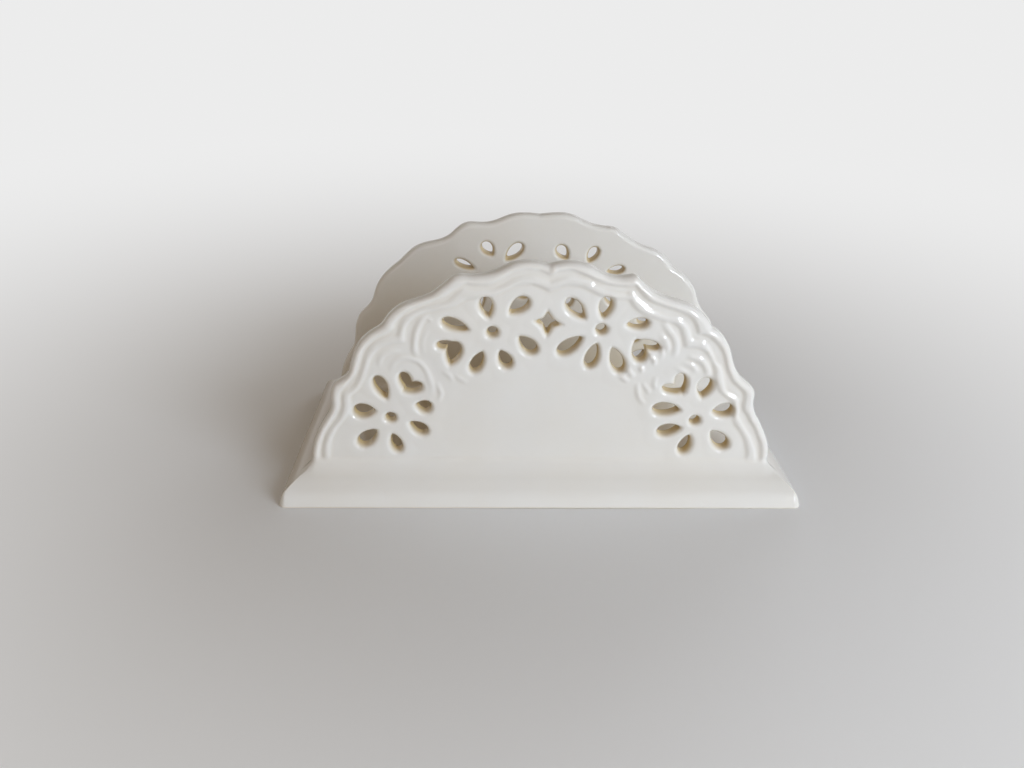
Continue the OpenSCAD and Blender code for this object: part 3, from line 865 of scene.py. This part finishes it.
def skin_group():
    """Height of a fired glaze: soft dimples like orange peel, with a finer ripple."""
    group, given, end = new_group(
        "Glaze skin", {"Dimple size": 260.0, "Fine size": 900.0}, ("Height",))
    place = add(group, "TexCoord").outputs["Object"]
    dimple = add(group, "TexNoise", {
        "Vector": place, "Scale": given["Dimple size"], "Detail": 1.5, "Roughness": 0.4})
    fine = add(group, "TexNoise", {"Vector": place, "Scale": given["Fine size"], "Detail": 2.0})
    small = work_out(group, "MULTIPLY", fine.outputs["Fac"], 0.22)
    feed(group, end, {"Height": work_out(group, "ADD", dimple.outputs["Fac"], small)})
    return group


def glaze_material():
    """Ivory glaze over pale clay, pooled in the hollows, thin on the edges, bare underfoot, with
    painted shade in the pooled colour.
    """
    found = bpy.data.materials.get("ivory_glaze")
    if found:
        return found
    look = bpy.context.scene.holder_glaze
    material = bpy.data.materials.new("ivory_glaze")
    material.use_nodes = True
    tree = material.node_tree
    tone = add(tree, "Group", {"Drift size": 28.0}, node_tree=tone_group())
    drift, specks = tone.outputs["Drift"], tone.outputs["Specks"]
    surface = add(tree, "Group", node_tree=skin_group())
    pooled, thin, sheltered, dry = (
        add(tree, "Attribute", attribute_name=key).outputs["Fac"]
        for key in ("pooled", "thin", "sheltered", "dry"))

    shade = (*look.ivory, 1)
    drifted = [c * f for c, f in zip(look.ivory, DRIFT_SHARES)]
    # Each layer: its colour, what it varies with, and the most that shows of it. The second pooled
    # layer is painted shade.
    for tint, amount, most in (
            (drifted, ramp(tree, drift, DRIFT_SPAN, 0.0, 1.0), 1), (look.thin, thin, 0.6),
            (look.pooled, pooled, 0.10), (look.pooled, sheltered, 0.9),
            (SPECK_COLOUR, specks, 0.5), (look.clay, dry, 1)):
        if most < 1:
            amount = work_out(tree, "MULTIPLY", amount, most, use_clamp=True)
        mix = add(tree, "Mix", {0: amount, 6: shade, 7: (*tint, 1)}, data_type="RGBA")
        shade = mix.outputs[2]

    gloss = ramp(tree, drift, DRIFT_SPAN, look.roughness - SMOOTHER, look.roughness + ROUGHER)
    rough = add(tree, "Mix", {0: dry, 2: gloss, 3: CLAY_ROUGHNESS}, data_type="FLOAT")
    bump = add(tree, "Bump", {
        "Strength": 0.35, "Distance": 0.00008, "Height": surface.outputs["Height"]})
    feed(tree, tree.nodes["Principled BSDF"], {
        "Base Color": shade, "Roughness": rough.outputs[0], "IOR": 1.5,
        "Normal": bump.outputs["Normal"]})
    return material


# Stage

# The camera stands where the photograph's did, found from the base's and the panels' edges
CAMERA_AT = (-0.01903, -0.25165, 0.16005)
CAMERA_RIGHT = (0.99947, -0.02511, 0.02094)
CAMERA_UP = (-0.00662, 0.47153, 0.88183)
CAMERA_BACK = (-0.03202, -0.88150, 0.47111)
CAMERA_LENS, CAMERA_SENSOR = 26.757, 36.0
CAMERA_SEES = (0.01, 50.0)

# Each light: the way to it from the holder, its distance, its width and height, its tint, and
# the rays that don't see it
LIGHTS = {
    "window": ((0.66, -0.70, 0.30), 0.75, (0.36, 0.50), (0.83, 0.91, 1.0), "glossy"),
    "spark": ((0.61, -0.78, 0.15), 0.75, (0.10, 0.14), (0.83, 0.91, 1.0), "diffuse"),
    "back": ((0.45, 0.85, 0.20), 0.9, (0.5, 0.3), (0.90, 0.95, 1.0), "glossy"),
    "side": ((-0.55, -0.75, 0.35), 0.75, (0.5, 0.5), (1.0, 0.88, 0.74), "glossy")}
# The place that they face
LIT_PLACE = (0, 0, 0.04)
FILL_TINT = (1.0, 0.76, 0.50)

FLOOR_REACH = 12.0
# The floor passes into the background as 1 / (distance + FADE_MORE) passes through this span
FADE_MORE = 0.25
FADE_SPAN = (3.2, 1.1)


def make_camera():
    """The camera, at the photograph's place."""
    data = bpy.data.cameras.new("camera")
    data.lens, data.sensor_width, data.sensor_fit = CAMERA_LENS, CAMERA_SENSOR, "HORIZONTAL"
    data.clip_start, data.clip_end = CAMERA_SEES
    camera = new_object("camera", data)
    turn = Matrix((CAMERA_RIGHT, CAMERA_UP, CAMERA_BACK)).transposed().to_4x4()
    camera.matrix_world = Matrix.Translation(CAMERA_AT) @ turn
    bpy.context.scene.camera = camera


def make_light(name, watts, toward, distance, size, tint, unseen_by):
    """An upright soft light like a window, which faces the holder."""
    data = bpy.data.lights.new(name, "AREA")
    data.shape = "RECTANGLE"
    data.size, data.size_y = size
    data.energy, data.color = watts, tint
    light = new_object(name, data)
    toward = Vector(toward).normalized()
    light.location = Vector(LIT_PLACE) + toward * distance
    light.rotation_mode = "QUATERNION"
    light.rotation_quaternion = (-toward).to_track_quat("-Z", "Y")
    setattr(light, "visible_" + unseen_by, False)


def shows_background(tree):
    """1 for rays to the camera, off gloss and through glass, which see the background."""
    path = add(tree, "LightPath").outputs
    either = path["Is Camera Ray"]
    for kind in ("Is Glossy Ray", "Is Transmission Ray"):
        either = work_out(tree, "MAXIMUM", either, path[kind])
    return either


def floor_material(floor, background):
    """A pale floor that passes into the background well away from the holder."""
    material = bpy.data.materials.new("pale_floor")
    material.use_nodes = True
    tree = material.node_tree
    shader = tree.nodes["Principled BSDF"]
    feed(tree, shader, {"Base Color": (*floor, 1), "Roughness": 0.75, "Specular IOR Level": 0.2})
    place = add(tree, "TexCoord").outputs["Object"]
    away = add(tree, "VectorMath", {0: place}, operation="LENGTH").outputs["Value"]
    near = work_out(tree, "DIVIDE", 1.0, work_out(tree, "ADD", away, FADE_MORE))
    far = ramp(tree, near, FADE_SPAN, 0.0, 1.0, interpolation_type="SMOOTHSTEP")
    seen = work_out(tree, "MULTIPLY", far, shows_background(tree))
    glow = add(tree, "Emission", {"Color": (*background, 1)})
    mix = add(tree, "MixShader", {0: seen, 1: shader.outputs[0], 2: glow.outputs[0]})
    feed(tree, tree.nodes["Material Output"], {"Surface": mix.outputs[0]})
    return material


def make_floor(studio):
    """A wide floor, level with the foot."""
    mesh = bpy.data.meshes.new("floor")
    corners = [(x * FLOOR_REACH, y * FLOOR_REACH, 0)
               for x, y in ((-1, -1), (1, -1), (1, 1), (-1, 1))]
    mesh.from_pydata(corners, [], [(0, 1, 2, 3)])
    mesh.materials.append(floor_material(tuple(studio.floor), tuple(studio.background)))
    floor = new_object("floor", mesh)


def make_world(studio):
    """Even warm light from all round, and a plain background."""
    world = bpy.data.worlds.new("studio")
    bpy.context.scene.world = world
    world.use_nodes = True
    tree = world.node_tree
    lit = tree.nodes["Background"]
    feed(tree, lit, {"Color": (*FILL_TINT, 1), "Strength": studio.fill})
    seen = add(tree, "Background", {"Color": (*studio.background, 1)})
    mix = add(tree, "MixShader", {
        0: shows_background(tree), 1: lit.outputs[0], 2: seen.outputs[0]})
    feed(tree, tree.nodes["World Output"], {"Surface": mix.outputs[0]})


# Operators

@functools.cache
def clay():
    """The holder's clay, worked out once from the settings."""
    scene = bpy.context.scene
    return Clay(scene.holder_base, scene.holder_panel, scene.holder_glaze)


def make_panel(name):
    """One panel, from its seat up."""
    c = clay()
    step = bpy.context.scene.holder_panel.mesh_step / MM
    side = PANELS[name][0]

    def field(p):
        return c.panel(name, p)

    def shade(p):
        """Painted shade, which rises low in the slot, and on the walls of the piercings with their
        depth.
        """
        edge = c.charts[name].read(p[:, 0] * side, p[:, 2])[1]
        depth = over(p[:, 1] * side + c.face, *PIERCED_DEPTH)
        wall = under(edge, *PIERCED_EDGE) * (PIERCED_LEAST + (1 - PIERCED_LEAST) * depth)
        return np.maximum(slot_shade(p), wall)

    axes = [np.arange(*span, step) for span in PANEL_SPANS]
    axes[1] = np.sort((axes[1] - c.face) * side)
    points, faces = skin(field, axes)
    piece = clay_object(name + "_clay", settle(field, points), faces)
    cut_level(piece.data, c.seat * MM, keep_above=True)
    finish_piece(piece, field, name, shade)


def make_base():
    """The base, up to the seats of the panels."""
    c = clay()
    step = bpy.context.scene.holder_base.mesh_step / MM
    axes = []
    for inner, outer, parts in BASE_SPANS:
        fine = np.arange(inner, outer, step)
        coarse = np.linspace(-inner, inner, parts + 1)[1:-1]
        axes.append(np.concatenate([-fine[::-1], coarse, fine]))
    axes.append(np.arange(*BASE_HEIGHTS, step))
    points, faces = skin(c.whole, axes)
    piece = clay_object("base_clay", settle(c.whole, points), faces)
    cut_level(piece.data, c.seat * MM, keep_above=False)
    finish_piece(piece, c.whole, "base")


class HOLDER_OT_base(bpy.types.Operator):
    """Makes the hollow base with its lip, shoulder and coved seats"""
    bl_idname = "holder.base"
    bl_label = "Make Base"

    def execute(self, context):
        make_base()
        return {"FINISHED"}


class HOLDER_OT_panels(bpy.types.Operator):
    """Makes the two scalloped and pierced panels"""
    bl_idname = "holder.panels"
    bl_label = "Make Panels"

    def execute(self, context):
        for name in PANELS:
            make_panel(name)
        return {"FINISHED"}


class HOLDER_OT_stage(bpy.types.Operator):
    """Makes the camera, the floor and the soft light"""
    bl_idname = "holder.stage"
    bl_label = "Make Stage"

    def execute(self, context):
        studio = context.scene.holder_studio
        make_camera()
        make_floor(studio)
        make_world(studio)
        for key, light in LIGHTS.items():
            make_light(key + "_light", getattr(studio, key), *light)
        context.scene.view_settings.view_transform = "Standard"
        return {"FINISHED"}


class HOLDER_PT_panel(bpy.types.Panel):
    """Lists the operators and the settings that they read"""
    bl_idname = "HOLDER_PT_panel"
    bl_label = "Napkin Holder"
    bl_space_type = "VIEW_3D"
    bl_region_type = "UI"
    bl_category = "Napkin Holder"

    def draw(self, context):
        for key, group in SETTINGS.items():
            box = self.layout.box()
            for setting in group.__annotations__:
                box.prop(getattr(context.scene, key), setting)
        for operator in OPERATORS:
            self.layout.operator(operator.bl_idname)


SETTINGS = {"holder_base": BaseSizes, "holder_panel": PanelSizes,
            "holder_glaze": GlazeSettings, "holder_studio": StudioSettings}
OPERATORS = (HOLDER_OT_base, HOLDER_OT_panels, HOLDER_OT_stage)


def register():
    """Registers the settings, the operators and the panel."""
    for key, group in SETTINGS.items():
        bpy.utils.register_class(group)
        setattr(bpy.types.Scene, key, bpy.props.PointerProperty(type=group))
    for operator in OPERATORS:
        bpy.utils.register_class(operator)
    bpy.utils.register_class(HOLDER_PT_panel)


def unregister():
    """Takes back all that register does."""
    bpy.utils.unregister_class(HOLDER_PT_panel)
    for operator in reversed(OPERATORS):
        bpy.utils.unregister_class(operator)
    for key, group in reversed(SETTINGS.items()):
        delattr(bpy.types.Scene, key)
        bpy.utils.unregister_class(group)


def main():
    """Builds the holder and its stage."""
    register()
    bpy.ops.holder.base()
    bpy.ops.holder.panels()
    bpy.ops.holder.stage()


if __name__ == "__main__":
    main()
